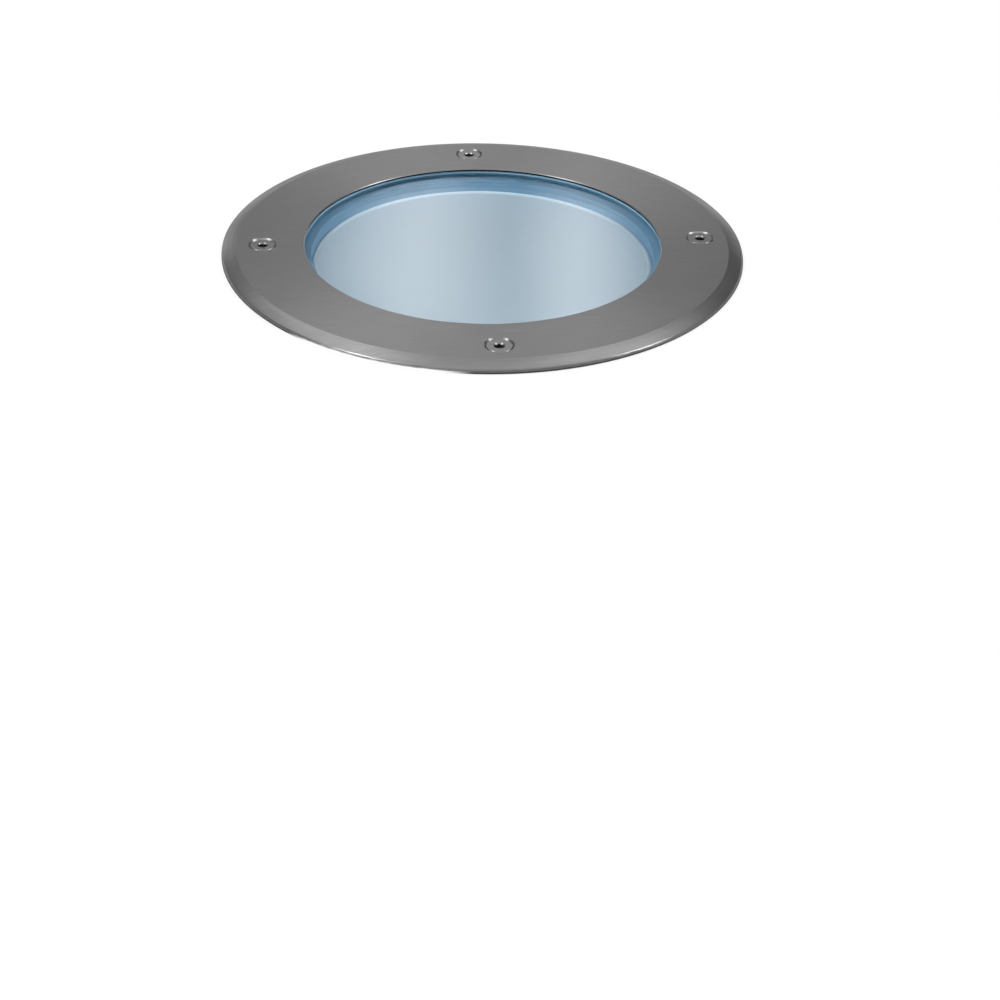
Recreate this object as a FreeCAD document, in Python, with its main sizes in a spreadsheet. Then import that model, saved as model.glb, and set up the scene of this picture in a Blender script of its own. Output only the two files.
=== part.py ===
import FreeCAD, Part
import os
import re
import Sketcher

# In-ground well light with a round stainless bezel, 240 mm across. Millimetres, +Z up.
# The origin is on the light's axis at ground level: the underside of the bezel's rim.
# Below the ground an open plastic sleeve stays in the soil. The luminaire hangs in it by
# its flange, and the bezel with the cover glass closes it. Four screws hold the stack.

screwCount = 4
finCount = 24
ribCount = 12
innerChips = 6
outerChips = 12

sizes = {
    # bezel ring
    "rim_cover": 8,
    "ring_edge": 2,
    "ring_thick": 6,
    "bevel_width": 6.8,
    "bevel_drop": 2.2,
    "bevel_crown": 0.25,
    "crown_round": 20,
    "rim_round": 1.2,
    "lip_cover": 5.9,
    "lip_thick": 1.1,
    "rim_relief": 0.6,
    "rim_undercut": 0.7,
    "edge_break": 0.3,
    # bezel screws, their places and what they run in
    "screw_radius": 3,
    "screw_length": 25,
    "screw_relief": 2.45,
    "relief_end": 8.5,
    "screw_head": 5.7,
    "screw_land": 0.15,
    "screw_sink": 0.4,
    "screw_point": 0.8,
    "hex_across": 4,
    "hex_depth": 2.4,
    "hex_mouth": 0.3,
    "retainer_wall": 2.2,
    "retainer_thick": 1.2,
    "insert_wall": 1.4,
    "insert_length": 12,
    # cover glass and its two gaskets
    "glass_radius": 88,
    "glass_thick": 8,
    "glass_chamfer": 0.8,
    "lip_gasket_thick": 1.1,
    "lip_gasket_width": 4.95,
    "seat_gasket_thick": 2,
    "seat_gasket_wall": 1.4,
    "seat_gasket_skirt": 0.7,
    # housing
    "flange_thick": 5,
    "neck_wall": 2.8,
    "seat_thick": 4,
    "seat_width": 8,
    "diffuser_step": 4,
    "spreader_step": 5,
    "housing_wall": 3.5,
    "housing_depth": 120,
    "housing_draft": 1.2,
    "floor_thick": 4,
    "fin_inset": 1.8,
    "fin_thick": 2.4,
    "fin_stop": 12,
    "fin_taper": 7,
    "lug_inset": 2.5,
    "lug_radius": 5,
    "lug_height": 16,
    # optics
    "diffuser_drop": 5.7,
    "diffuser_rise": 3.3,
    "diffuser_brim": 1.2,
    "diffuser_wall": 2,
    "diffuser_skin": 2.5,
    "diffuser_round": 0.6,
    "bead_width": 2.4,
    "bead_rise": 0.7,
    "bead_slope": 0.8,
    "reflector_lip": 5,
    "reflector_depth": 25,
    "reflector_wall": 1.5,
    # heat spreader and light source
    "spreader_thick": 4,
    "board_room": 19,
    "board_thick": 1.6,
    "board_margin": 1,
    "board_screw_inset": 6,
    "lead_hole_radius": 4,
    "lead_hole_place": 22,
    "chip_side": 5,
    "chip_thick": 0.9,
    "inner_chip_circle": 13,
    "outer_chip_inset": 19,
    "connector_length": 10,
    "connector_width": 6,
    "connector_thick": 4.5,
    # driver on its bracket
    "driver_length": 92,
    "driver_width": 42,
    "driver_thick": 30,
    "driver_round": 4,
    "driver_tab": 6.5,
    "driver_tab_thick": 3,
    "bracket_thick": 2,
    "bracket_lip": 8,
    "bracket_ear": 14,
    "ear_room": 7.5,
    "ear_end": 6,
    "post_radius": 4.5,
    "post_height": 10,
    # terminals on the housing floor
    "block_width": 18,
    "block_thick": 16,
    "block_room": 5.4,
    "block_wall_room": 4.7,
    "block_entry_room": 15,
    "clamp_screw_radius": 2.2,
    "clamp_screw_length": 5,
    "wire_hole_radius": 2,
    "earth_place_x": -30,
    "earth_room": 11.4,
    "earth_boss_radius": 5,
    "earth_boss_height": 6,
    "washer_radius": 4.5,
    "washer_thick": 0.8,
    # cable entries in the housing floor
    "entry_room": 8.5,
    "entry_radius": 10,
    "entry_boss_radius": 15,
    "entry_boss_height": 3,
    "entry_gasket_width": 2.6,
    "entry_gasket_thick": 1.2,
    "gland_across": 24,
    "gland_hex": 6,
    "gland_collar": 9.2,
    "gland_collar_length": 10,
    "gland_bore": 5.5,
    "locknut_thick": 5,
    "seal_radius": 7.4,
    "seal_bore": 4.75,
    "seal_length": 9,
    "dome_radius": 12.5,
    "dome_length": 17,
    "dome_bore": 6,
    "plug_head_radius": 12.8,
    "plug_head_thick": 4,
    "plug_slot_width": 2.5,
    "vent_place": 32.5,
    "vent_radius": 6,
    "vent_head_radius": 8.6,
    "vent_head_thick": 5,
    "vent_gasket_thick": 1,
    "vent_slot_width": 2,
    # small screws: metric three and metric four
    "small_screw": 1.5,
    "small_head": 2.8,
    "small_head_thick": 1.8,
    "middle_screw": 2,
    "middle_head": 3.8,
    "middle_head_thick": 2.6,
    "middle_length": 10,
    # sleeve
    "sleeve_wall": 3,
    "sleeve_depth": 190,
    "collar_depth": 36,
    "sleeve_waist": 4,
    "sleeve_draft": 2.5,
    "foot_inset": 1,
    "foot_width": 23,
    "foot_thick": 3,
    "rib_thick": 3,
    "band_depth": 112,
    "boss_radius": 7.2,
    "boss_height": 34,
    "boss_web": 5,
    "boss_margin": 0.6,
    "boss_hole_depth": 22,
    "notch_width": 36,
    "notch_height": 44,
    # clearances
    "thread_fit": 0.05,
    "screw_gap": 0.3,
    "glass_gap": 0.3,
    "soft_gap": 0.3,
    "film_gap": 0.05,
    "flange_gap": 0.3,
    "entry_gap": 0.1,
    "drop_gap": 0.6,
    "register_gap": 1.5,
    "flange_room": 2,
    "boss_gap": 1.2,
    "rim_gap": 1,
}

# Heights and radii that follow from the sizes.
derived = {
    "opening_radius": "glass_radius - lip_cover",
    "ledge_radius": "glass_radius - seat_width",
    "chamber_radius": "ledge_radius - diffuser_step",
    "gear_radius": "chamber_radius - spreader_step",
    "diffuser_radius": "ledge_radius - diffuser_brim",
    "reflector_mouth": "chamber_radius - reflector_lip",
    "board_radius": "gear_radius - board_room",
    "reflector_base": "board_radius + board_margin",
    "lug_circle": "gear_radius - lug_inset",
    "board_screw_circle": "board_radius - board_screw_inset",
    "outer_chip_circle": "board_radius - outer_chip_inset",
    "screw_circle": "neck_radius + boss_gap + boss_radius",
    "sleeve_inner": "screw_circle + boss_radius + boss_margin",
    "sleeve_radius": "sleeve_inner + sleeve_wall",
    "ring_radius": "sleeve_radius + rim_cover",
    "flange_radius": "sleeve_inner - flange_room",
    "fin_radius": "neck_radius - fin_inset",
    "foot_radius": "sleeve_radius - foot_inset",
    "foot_inner": "foot_radius - foot_width",
    "bracket_side": "driver_width / 2 + drop_gap + bracket_thick",
    "bracket_screw_place": "driver_length / 2 + driver_tab + ear_room",
    "bracket_reach": "bracket_screw_place + ear_end",
    "block_place_y": "bracket_side + block_room + block_width / 2",
    "block_corner": "gear_radius - housing_draft - block_wall_room",
    "block_reach": "sqrt(block_corner ^ 2 - (block_place_y + block_width / 2) ^ 2)",
    "block_length": "block_reach - block_entry_room",
    "block_place_x": "block_entry_room + block_length / 2",
    "block_pitch": "block_length / 3",
    "earth_place_y": "bracket_side + earth_room + earth_boss_radius",
    "entry_place": "bracket_side + entry_room + gland_across / sqrt(3)",
    "ring_top": "ring_edge + bevel_drop",
    "ring_under": "ring_top - ring_thick",
    "lip_under": "ring_top - lip_thick",
    "glass_top": "lip_under - lip_gasket_thick",
    "glass_under": "glass_top - glass_thick",
    "seat_level": "glass_under - seat_gasket_thick",
    "pocket_radius": "glass_radius + glass_gap + seat_gasket_wall + soft_gap",
    "flange_top": "ring_under - flange_gap",
    "flange_under": "flange_top - flange_thick",
    "neck_radius": "pocket_radius + neck_wall",
    "neck_level": "seat_level - seat_thick",
    "diffuser_seat": "glass_under - diffuser_drop - diffuser_rise",
    "spreader_top": "diffuser_seat - reflector_depth",
    "spreader_seat": "spreader_top - spreader_thick",
    "spreader_radius": "chamber_radius - drop_gap",
    "housing_bottom": "0 - housing_depth",
    "floor_top": "housing_bottom + floor_thick",
    "chamber_outer": "chamber_radius + housing_wall",
    "gear_outer": "gear_radius + housing_wall",
    "shoulder_level": "neck_level - (neck_radius - chamber_outer) / 2",
    "waist_level": "spreader_seat - 2 * housing_wall",
    "waist_end": "waist_level - (chamber_outer - gear_outer)",
    "post_top": "floor_top + post_height",
    "bracket_top": "post_top + bracket_thick",
    "entry_level": "housing_bottom - entry_boss_height",
    "entry_wall": "floor_thick + entry_boss_height",
    "entry_hole": "entry_radius + entry_gap",
    "hole_radius": "screw_radius + screw_gap",
    "sink_radius": "screw_head + screw_sink + 2 * screw_land + screw_gap",
    "body_radius": "sleeve_radius - sleeve_waist",
    "foot_top": "foot_thick - sleeve_depth",
    "waist_depth": "collar_depth + sleeve_waist",
    "insert_radius": "screw_radius + thread_fit + insert_wall",
}

doc = FreeCAD.newDocument("well_light")
sheet = doc.addObject("Spreadsheet::Sheet", "Sizes")
pieces = []


def fillSheet():
    for row, (name, size) in enumerate(sizes.items(), start=1):
        sheet.set(f"A{row}", name)
        sheet.set(f"B{row}", str(size))
        sheet.setAlias(f"B{row}", name)
    doc.recompute()


def formula(text):
    def written(match):
        word = match.group(0)
        if word in derived:
            return "(" + formula(derived[word]) + ")"
        if word in sizes:
            return "Sizes." + word
        return word
    return re.sub(r"[a-z]\w*", written, text)


def number(text):
    result = sheet.evalExpression(formula(text))
    return float(getattr(result, "Value", result))


def piece(name, x="0", y="0", up="0", turn=0):
    body = doc.addObject("PartDesign::Body", name)
    body.Label = name
    body.AllowCompound = True
    body.Placement.Rotation = FreeCAD.Rotation(FreeCAD.Vector(0, 0, 1), turn)
    body.setExpression("Placement.Base.x", formula(x))
    body.setExpression("Placement.Base.y", formula(y))
    body.setExpression("Placement.Base.z", formula(up))
    pieces.append(body)
    return body


def originOf(body, role):
    return next(item for item in body.Origin.OriginFeatures if item.Role == role)


def sketchOn(body, name, plane, x="0", height="0"):
    sketch = body.newObject("Sketcher::SketchObject", name)
    sketch.AttachmentSupport = (originOf(body, plane), [""])
    sketch.MapMode = "FlatFace"
    sketch.setExpression("AttachmentOffset.Base.x", formula(x))
    sketch.setExpression("AttachmentOffset.Base.z", formula(height))
    return sketch


def holdPoint(sketch, curve, point, x, y):
    for kind, text in (("DistanceX", x), ("DistanceY", y)):
        place = sketch.addConstraint(Sketcher.Constraint(kind, -1, 1, curve, point, number(text)))
        sketch.setExpression(f"Constraints[{place}]", formula(text))


def outline(sketch, points):
    first = sketch.GeometryCount
    corners = [FreeCAD.Vector(number(x), number(y), 0) for x, y in points]
    ends = corners[1:] + corners[:1]
    sketch.addGeometry([Part.LineSegment(a, b) for a, b in zip(corners, ends)], False)
    for place, (x, y) in enumerate(points):
        before = first + (place - 1) % len(points)
        sketch.addConstraint(Sketcher.Constraint("Coincident", before, 2, first + place, 1))
        holdPoint(sketch, first + place, 1, x, y)


def circle(sketch, x, y, radius):
    middle = FreeCAD.Vector(number(x), number(y), 0)
    curve = sketch.addGeometry(Part.Circle(middle, FreeCAD.Vector(0, 0, 1), number(radius)), False)
    holdPoint(sketch, curve, 3, x, y)
    place = sketch.addConstraint(Sketcher.Constraint("Radius", curve, number(radius)))
    sketch.setExpression(f"Constraints[{place}]", formula(radius))


def box(sketch, x, y, length, width):
    left, right = f"{x} - ({length}) / 2", f"{x} + ({length}) / 2"
    low, high = f"{y} - ({width}) / 2", f"{y} + ({width}) / 2"
    outline(sketch, [(left, low), (right, low), (right, high), (left, high)])


def hexagon(sketch, across):
    corners = [f"{across} / sqrt(3) * " + turn for turn in ("cos(0)", "cos(60)", "cos(120)")]
    rise = f"{across} / 2"
    fall = f"0 - {across} / 2"
    outline(sketch, [(corners[0], "0"), (corners[1], rise), (corners[2], rise),
                     (f"0 - {corners[0]}", "0"), (corners[2], fall), (corners[1], fall)])


def turned(body, name, points, x="0"):
    sketch = sketchOn(body, name + "_profile", "XZ_Plane", x)
    outline(sketch, points)
    solid = body.newObject("PartDesign::Revolution", name)
    solid.Profile = sketch
    solid.ReferenceAxis = (sketch, ["V_Axis"])
    doc.recompute()
    return solid


def grooved(body, name, points, x="0"):
    before = body.Shape.Volume
    sketch = sketchOn(body, name + "_profile", "XZ_Plane", x)
    outline(sketch, points)
    groove = body.newObject("PartDesign::Groove", name)
    groove.Profile = sketch
    groove.ReferenceAxis = (sketch, ["V_Axis"])
    doc.recompute()
    mustShrink(body, before, name)
    return groove


def padded(body, name, sketch, length, down=False, middle=False):
    pad = body.newObject("PartDesign::Pad", name)
    pad.Profile = sketch
    pad.setExpression("Length", formula(length))
    pad.Reversed = down
    if middle:
        pad.SideType = "Symmetric"
    doc.recompute()
    return pad


def pocketed(body, name, sketch, depth, upward=False, middle=False):
    before = body.Shape.Volume
    pocket = body.newObject("PartDesign::Pocket", name)
    pocket.Profile = sketch
    pocket.setExpression("Length", formula(depth))
    pocket.Reversed = upward
    if middle:
        pocket.SideType = "Symmetric"
    doc.recompute()
    mustShrink(body, before, name)
    return pocket


def mustShrink(body, before, name):
    if body.Shape.Volume >= before - 1e-6:
        raise RuntimeError(f"{body.Label}: {name} cuts nothing")


def repeated(body, name, features, count):
    pattern = body.newObject("PartDesign::PolarPattern", name)
    pattern.Originals = features
    pattern.Axis = (originOf(body, "Z_Axis"), [""])
    pattern.Angle = 360
    pattern.Occurrences = count
    body.Tip = pattern
    doc.recompute()
    return pattern


def ringEdges(base, rings):
    wanted = [(number(across), number(up)) for across, up in rings]
    edges = []
    for place, edge in enumerate(base.Shape.Edges, start=1):
        if not isinstance(edge.Curve, Part.Circle):
            continue
        middle = edge.Curve.Center
        if middle.x ** 2 + middle.y ** 2 > 1e-6:
            continue
        if any(abs(edge.Curve.Radius - a) + abs(middle.z - z) < 1e-4 for a, z in wanted):
            edges.append(f"Edge{place}")
    return base, edges


def rounded(body, name, rings, radius):
    edges = ringEdges(body.Tip, rings)
    fillet = body.newObject("PartDesign::Fillet", name)
    fillet.Base = edges
    fillet.setExpression("Radius", formula(radius))
    doc.recompute()
    return fillet


def broken(body, name, rings, size):
    edges = ringEdges(body.Tip, rings)
    chamfer = body.newObject("PartDesign::Chamfer", name)
    chamfer.Base = edges
    chamfer.setExpression("Size", formula(size))
    doc.recompute()
    return chamfer


def upright(body, name, radius):
    base = body.Tip
    edges = []
    for place, edge in enumerate(base.Shape.Edges, start=1):
        first, last = edge.Vertexes[0].Point, edge.Vertexes[-1].Point
        if abs(first.z - last.z) > 1 and (first - last).Length - abs(first.z - last.z) < 1e-6:
            edges.append(f"Edge{place}")
    fillet = body.newObject("PartDesign::Fillet", name)
    fillet.Base = (base, edges)
    fillet.setExpression("Radius", formula(radius))
    doc.recompute()
    return fillet


# ---- bezel: the ring, the glass under its lip and what stays on the screws ----

def bezelRing():
    ring = piece("bezel_ring")
    crown = ("ring_radius - bevel_width / 2", "ring_edge + bevel_drop / 2 + bevel_crown")
    turned(ring, "plate", [
        ("opening_radius", "ring_top"),
        ("ring_radius - bevel_width", "ring_top"),
        crown,
        ("ring_radius", "ring_edge"),
        ("ring_radius", "0"),
        ("sleeve_radius + rim_gap", "0"),
        ("sleeve_radius + rim_gap", "rim_relief"),
        ("sleeve_inner - register_gap", "rim_relief"),
        ("sleeve_inner - register_gap", "ring_under"),
        ("glass_radius + drop_gap", "ring_under"),
        ("glass_radius + drop_gap", "lip_under"),
        ("opening_radius", "lip_under"),
    ])
    rounded(ring, "crowned_bevel", [crown], "crown_round")
    rounded(ring, "rounded_rim", [("ring_radius", "ring_edge")], "rim_round")
    broken(ring, "broken_opening", [("opening_radius", "ring_top")], "edge_break")
    broken(ring, "undercut_rim", [("ring_radius", "0")], "rim_undercut")
    hole = grooved(ring, "countersunk_hole", [
        ("0", "ring_top"),
        ("sink_radius", "ring_top"),
        ("hole_radius", "ring_top - sink_radius + hole_radius"),
        ("hole_radius", "ring_under + retainer_thick + screw_gap"),
        ("screw_radius + retainer_wall + screw_gap", "ring_under + retainer_thick + screw_gap"),
        ("screw_radius + retainer_wall + screw_gap", "ring_under"),
        ("0", "ring_under"),
    ], x="screw_circle")
    repeated(ring, "countersunk_holes", [hole], screwCount)


def coverGlass():
    glass = piece("cover_glass", up="glass_under")
    turned(glass, "pane", [
        ("0", "0"),
        ("glass_radius - glass_chamfer", "0"),
        ("glass_radius", "glass_chamfer"),
        ("glass_radius", "glass_thick - glass_chamfer"),
        ("glass_radius - glass_chamfer", "glass_thick"),
        ("0", "glass_thick"),
    ])


def lipGasket():
    gasket = piece("lip_gasket", up="glass_top + film_gap")
    outer = "glass_radius - glass_chamfer"
    turned(gasket, "flat_ring", [
        (f"{outer} - lip_gasket_width", "0"),
        (outer, "0"),
        (outer, "lip_gasket_thick - film_gap"),
        (f"{outer} - lip_gasket_width", "lip_gasket_thick - film_gap"),
    ])


def screwRetainers():
    rings = piece("screw_retainers", up="ring_under + screw_gap / 2")
    inner = "screw_relief + thread_fit"
    outer = "screw_radius + retainer_wall"
    one = turned(rings, "retainer", [
        (inner, "0"), (outer, "0"), (outer, "retainer_thick"), (inner, "retainer_thick"),
    ], x="screw_circle")
    repeated(rings, "retainers", [one], screwCount)


def bezelScrew(place):
    turn = 90 * (place - 1)
    screw = piece(f"bezel_screw_{place}", x=f"screw_circle * cos({turn})",
                  y=f"screw_circle * sin({turn})", up="ring_top - screw_sink", turn=turn)
    # A thinner neck between head and thread lets the retainer hold the screw in the bezel.
    threadStart = "relief_end + screw_radius - screw_relief"
    turned(screw, "shank_and_head", [
        ("0", "0"),
        ("screw_head - screw_land", "0"),
        ("screw_head", "0 - screw_land"),
        ("screw_head", "0 - 2 * screw_land"),
        ("screw_relief", "0 - 2 * screw_land - (screw_head - screw_relief)"),
        ("screw_relief", "0 - relief_end"),
        ("screw_radius", f"0 - ({threadStart})"),
        ("screw_radius", "screw_point - screw_length"),
        ("screw_radius - screw_point", "0 - screw_length"),
        ("0", "0 - screw_length"),
    ])
    mouth = "hex_across / sqrt(3) + hex_mouth"
    grooved(screw, "socket_mouth", [("0", "0"), (mouth, "0"), ("0", f"0 - ({mouth})")])
    socket = sketchOn(screw, "socket_outline", "XY_Plane")
    hexagon(socket, "hex_across")
    pocketed(screw, "socket", socket, "hex_depth")


# ---- luminaire: housing, optics, light source and gear ----

def housingBody():
    housing = piece("housing_body")
    turned(housing, "pot", [
        ("pocket_radius", "flange_top"),
        ("flange_radius", "flange_top"),
        ("flange_radius", "flange_under"),
        ("neck_radius", "flange_under"),
        ("neck_radius", "neck_level"),
        ("chamber_outer", "shoulder_level"),
        ("chamber_outer", "waist_level"),
        ("gear_outer", "waist_end"),
        ("gear_outer - housing_draft", "housing_bottom"),
        ("0", "housing_bottom"),
        ("0", "floor_top"),
        ("gear_radius - housing_draft", "floor_top"),
        ("gear_radius", "spreader_seat"),
        ("chamber_radius", "spreader_seat"),
        ("chamber_radius", "diffuser_seat"),
        ("ledge_radius", "diffuser_seat"),
        ("ledge_radius", "seat_level"),
        ("pocket_radius", "seat_level"),
    ])
    housingFloor(housing)
    housingLugs(housing)
    flangeHole = sketchOn(housing, "flange_hole_outline", "XY_Plane", height="flange_top")
    circle(flangeHole, "screw_circle", "0", "hole_radius")
    hole = pocketed(housing, "flange_hole", flangeHole, "flange_thick")
    repeated(housing, "flange_holes", [hole], screwCount)
    housingFins(housing)


def housingFins(housing):
    # Each cooling fin starts inside the wall, follows the waist and tapers to its foot.
    upperRoot = "ledge_radius + housing_wall / 2"
    root = "chamber_radius + housing_wall / 2"
    lowerRoot = "gear_radius + housing_wall / 2"
    foot = "housing_bottom + fin_stop"
    fin = sketchOn(housing, "fin_outline", "XZ_Plane")
    outline(fin, [
        (root, "diffuser_seat - housing_wall / 2"),
        (upperRoot, "diffuser_seat"),
        (upperRoot, "neck_level + seat_thick / 2"),
        ("fin_radius", "neck_level + seat_thick / 2"),
        ("fin_radius", f"{foot} + fin_taper"),
        ("fin_radius - fin_taper", foot),
        (f"{lowerRoot} - housing_draft", foot),
        (lowerRoot, "waist_end"),
        (root, "waist_level"),
    ])
    blade = padded(housing, "fin", fin, "fin_thick", middle=True)
    repeated(housing, "fins", [blade], finCount)


def housingLugs(housing):
    # Screw lugs for the heat spreader stand halfway between the flange holes.
    across = "lug_circle * cos(45)"
    lug = sketchOn(housing, "lug_outline", "XY_Plane", height="spreader_seat")
    circle(lug, across, across, "lug_radius")
    column = padded(housing, "lug", lug, "lug_height", down=True)
    repeated(housing, "lugs", [column], screwCount)
    tapped = sketchOn(housing, "lug_hole_outline", "XY_Plane", height="spreader_seat")
    circle(tapped, across, across, "middle_screw + thread_fit")
    hole = pocketed(housing, "lug_hole", tapped, "middle_length")
    repeated(housing, "lug_holes", [hole], screwCount)


def housingFloor(housing):
    bosses = sketchOn(housing, "entry_boss_outline", "XY_Plane", height="housing_bottom")
    circle(bosses, "0", "0 - entry_place", "entry_boss_radius")
    circle(bosses, "0", "entry_place", "entry_boss_radius")
    padded(housing, "entry_bosses", bosses, "entry_boss_height", down=True)
    posts = sketchOn(housing, "post_outline", "XY_Plane", height="floor_top")
    circle(posts, "bracket_screw_place", "0", "post_radius")
    circle(posts, "0 - bracket_screw_place", "0", "post_radius")
    padded(housing, "posts", posts, "post_height")
    earth = sketchOn(housing, "earth_boss_outline", "XY_Plane", height="floor_top")
    circle(earth, "earth_place_x", "earth_place_y", "earth_boss_radius")
    padded(housing, "earth_boss", earth, "earth_boss_height")
    entries = sketchOn(housing, "entry_hole_outline", "XY_Plane", height="floor_top")
    circle(entries, "0", "0 - entry_place", "entry_hole")
    circle(entries, "0", "entry_place", "entry_hole")
    pocketed(housing, "entry_holes", entries, "entry_wall")
    vent = sketchOn(housing, "vent_hole_outline", "XY_Plane", height="floor_top")
    circle(vent, "0 - vent_place", "0 - vent_place", "vent_radius + entry_gap")
    pocketed(housing, "vent_hole", vent, "floor_thick")
    tapped = sketchOn(housing, "post_hole_outline", "XY_Plane", height="post_top")
    circle(tapped, "bracket_screw_place", "0", "middle_screw + thread_fit")
    circle(tapped, "0 - bracket_screw_place", "0", "middle_screw + thread_fit")
    pocketed(housing, "post_holes", tapped, "post_height")
    stud = sketchOn(housing, "earth_hole_outline", "XY_Plane", height="floor_top + earth_boss_height")
    circle(stud, "earth_place_x", "earth_place_y", "middle_screw + thread_fit")
    pocketed(housing, "earth_hole", stud, "earth_boss_height + floor_thick / 2")


def glassSeatGasket():
    # It wraps the glass and its skirt lines the ledge down to the diffuser's brim.
    gasket = piece("glass_seat_gasket", up="seat_level")
    wallTop = "flange_top - seat_level - soft_gap"
    skirtFoot = "diffuser_seat + diffuser_wall - seat_level"
    skirtOuter = "ledge_radius - soft_gap"
    turned(gasket, "angle_ring", [
        (f"{skirtOuter} - seat_gasket_skirt", skirtFoot),
        (skirtOuter, skirtFoot),
        (skirtOuter, "0"),
        ("pocket_radius - soft_gap", "0"),
        ("pocket_radius - soft_gap", wallTop),
        ("glass_radius + glass_gap", wallTop),
        ("glass_radius + glass_gap", "seat_gasket_thick - film_gap"),
        (f"{skirtOuter} - seat_gasket_skirt", "seat_gasket_thick - film_gap"),
    ])


def diffuserHat():
    hat = piece("diffuser", up="diffuser_seat")
    # A low bead runs round the plateau's edge.
    beadTop = "diffuser_rise + bead_rise"
    beadStart = "diffuser_radius - bead_width"
    turned(hat, "hat", [
        ("0", "diffuser_rise - diffuser_wall"),
        ("diffuser_radius - diffuser_skin", "diffuser_rise - diffuser_wall"),
        ("diffuser_radius - diffuser_skin", "0"),
        ("ledge_radius - drop_gap", "0"),
        ("ledge_radius - drop_gap", "diffuser_wall"),
        ("diffuser_radius", "diffuser_wall"),
        ("diffuser_radius", f"{beadTop} - bead_slope"),
        ("diffuser_radius - bead_slope", beadTop),
        (f"{beadStart} + bead_slope", beadTop),
        (beadStart, "diffuser_rise"),
        ("0", "diffuser_rise"),
    ])
    rounded(hat, "soft_edges", [
        ("diffuser_radius", f"{beadTop} - bead_slope"),
        ("diffuser_radius - bead_slope", beadTop),
        (f"{beadStart} + bead_slope", beadTop),
        (beadStart, "diffuser_rise"),
    ], "diffuser_round")


def reflectorCone():
    cone = piece("reflector", up="spreader_top")
    turned(cone, "cone", [
        ("reflector_base", "0"),
        ("reflector_base + 4 * reflector_wall", "0"),
        ("reflector_base + 4 * reflector_wall", "reflector_wall"),
        ("reflector_base + 2 * reflector_wall", "reflector_wall"),
        ("reflector_mouth + reflector_wall / 2", "reflector_depth - reflector_wall"),
        ("spreader_radius", "reflector_depth - reflector_wall"),
        ("spreader_radius", "reflector_depth"),
        ("reflector_mouth", "reflector_depth"),
    ])


def heatSpreader():
    spreader = piece("heat_spreader", up="spreader_seat")
    plate = sketchOn(spreader, "plate_outline", "XY_Plane")
    circle(plate, "0", "0", "spreader_radius")
    circle(plate, "0", "lead_hole_place", "lead_hole_radius")
    padded(spreader, "plate", plate, "spreader_thick")
    holes = sketchOn(spreader, "hole_outline", "XY_Plane", height="spreader_thick")
    circle(holes, "lug_circle * cos(45)", "lug_circle * cos(45)", "middle_screw + screw_gap")
    circle(holes, "board_screw_circle", "0", "small_screw + thread_fit")
    pair = pocketed(spreader, "hole_pair", holes, "spreader_thick")
    repeated(spreader, "hole_pairs", [pair], screwCount)


def ledBoard():
    board = piece("led_board", up="spreader_top")
    plate = sketchOn(board, "plate_outline", "XY_Plane")
    circle(plate, "0", "0", "board_radius")
    circle(plate, "0", "lead_hole_place", "lead_hole_radius")
    padded(board, "plate", plate, "board_thick")
    hole = sketchOn(board, "hole_outline", "XY_Plane", height="board_thick")
    circle(hole, "board_screw_circle", "0", "small_screw + screw_gap")
    one = pocketed(board, "screw_hole", hole, "board_thick")
    repeated(board, "screw_holes", [one], screwCount)


def ledChips():
    chips = piece("led_chips", up="spreader_top + board_thick", turn=15)
    for name, place, count in (("inner", "inner_chip_circle", innerChips),
                               ("outer", "outer_chip_circle", outerChips)):
        square = sketchOn(chips, f"{name}_chip_outline", "XY_Plane")
        box(square, place, "0", "chip_side", "chip_side")
        chip = padded(chips, f"{name}_chip", square, "chip_thick")
        repeated(chips, f"{name}_chips", [chip], count)


def ledConnector():
    connector = piece("led_connector", up="spreader_top + board_thick")
    shell = sketchOn(connector, "shell_outline", "XY_Plane")
    box(shell, "0", "0", "connector_length", "connector_width")
    padded(connector, "shell", shell, "connector_thick")
    for name, side in (("left", "0 - "), ("right", "")):
        mouth = sketchOn(connector, f"{name}_mouth_outline", "XZ_Plane",
                         height="0 - connector_width / 2")
        circle(mouth, f"{side}connector_length / 4", "connector_thick / 2", "connector_thick / 4")
        pocketed(connector, f"{name}_mouth", mouth, "connector_width / 2", upward=True)


def panScrews(name, radius, head, headThick, length, places, count, up, turn=0):
    # One screw, or a ring of equal ones, with the seat of the heads at the given height.
    screws = piece(name, up=up, turn=turn)
    one = turned(screws, "screw", [
        ("0", f"0 - {length}"),
        (f"{radius}", f"0 - {length}"),
        (f"{radius}", "0"),
        (head, "0"),
        (head, f"{headThick} * 0.6"),
        (f"{head} * 0.7", headThick),
        ("0", headThick),
    ], x=places)
    cross = sketchOn(screws, "recess_outline", "XY_Plane", height=headThick)
    outline(cross, [
        (f"{places} - {head} * 0.6", f"0 - {head} * 0.12"),
        (f"{places} + {head} * 0.6", f"0 - {head} * 0.12"),
        (f"{places} + {head} * 0.6", f"{head} * 0.12"),
        (f"{places} - {head} * 0.6", f"{head} * 0.12"),
    ])
    recess = pocketed(screws, "recess", cross, f"{headThick} * 0.5")
    if count > 1:
        repeated(screws, "screws", [one, recess], count)
    return screws


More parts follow.
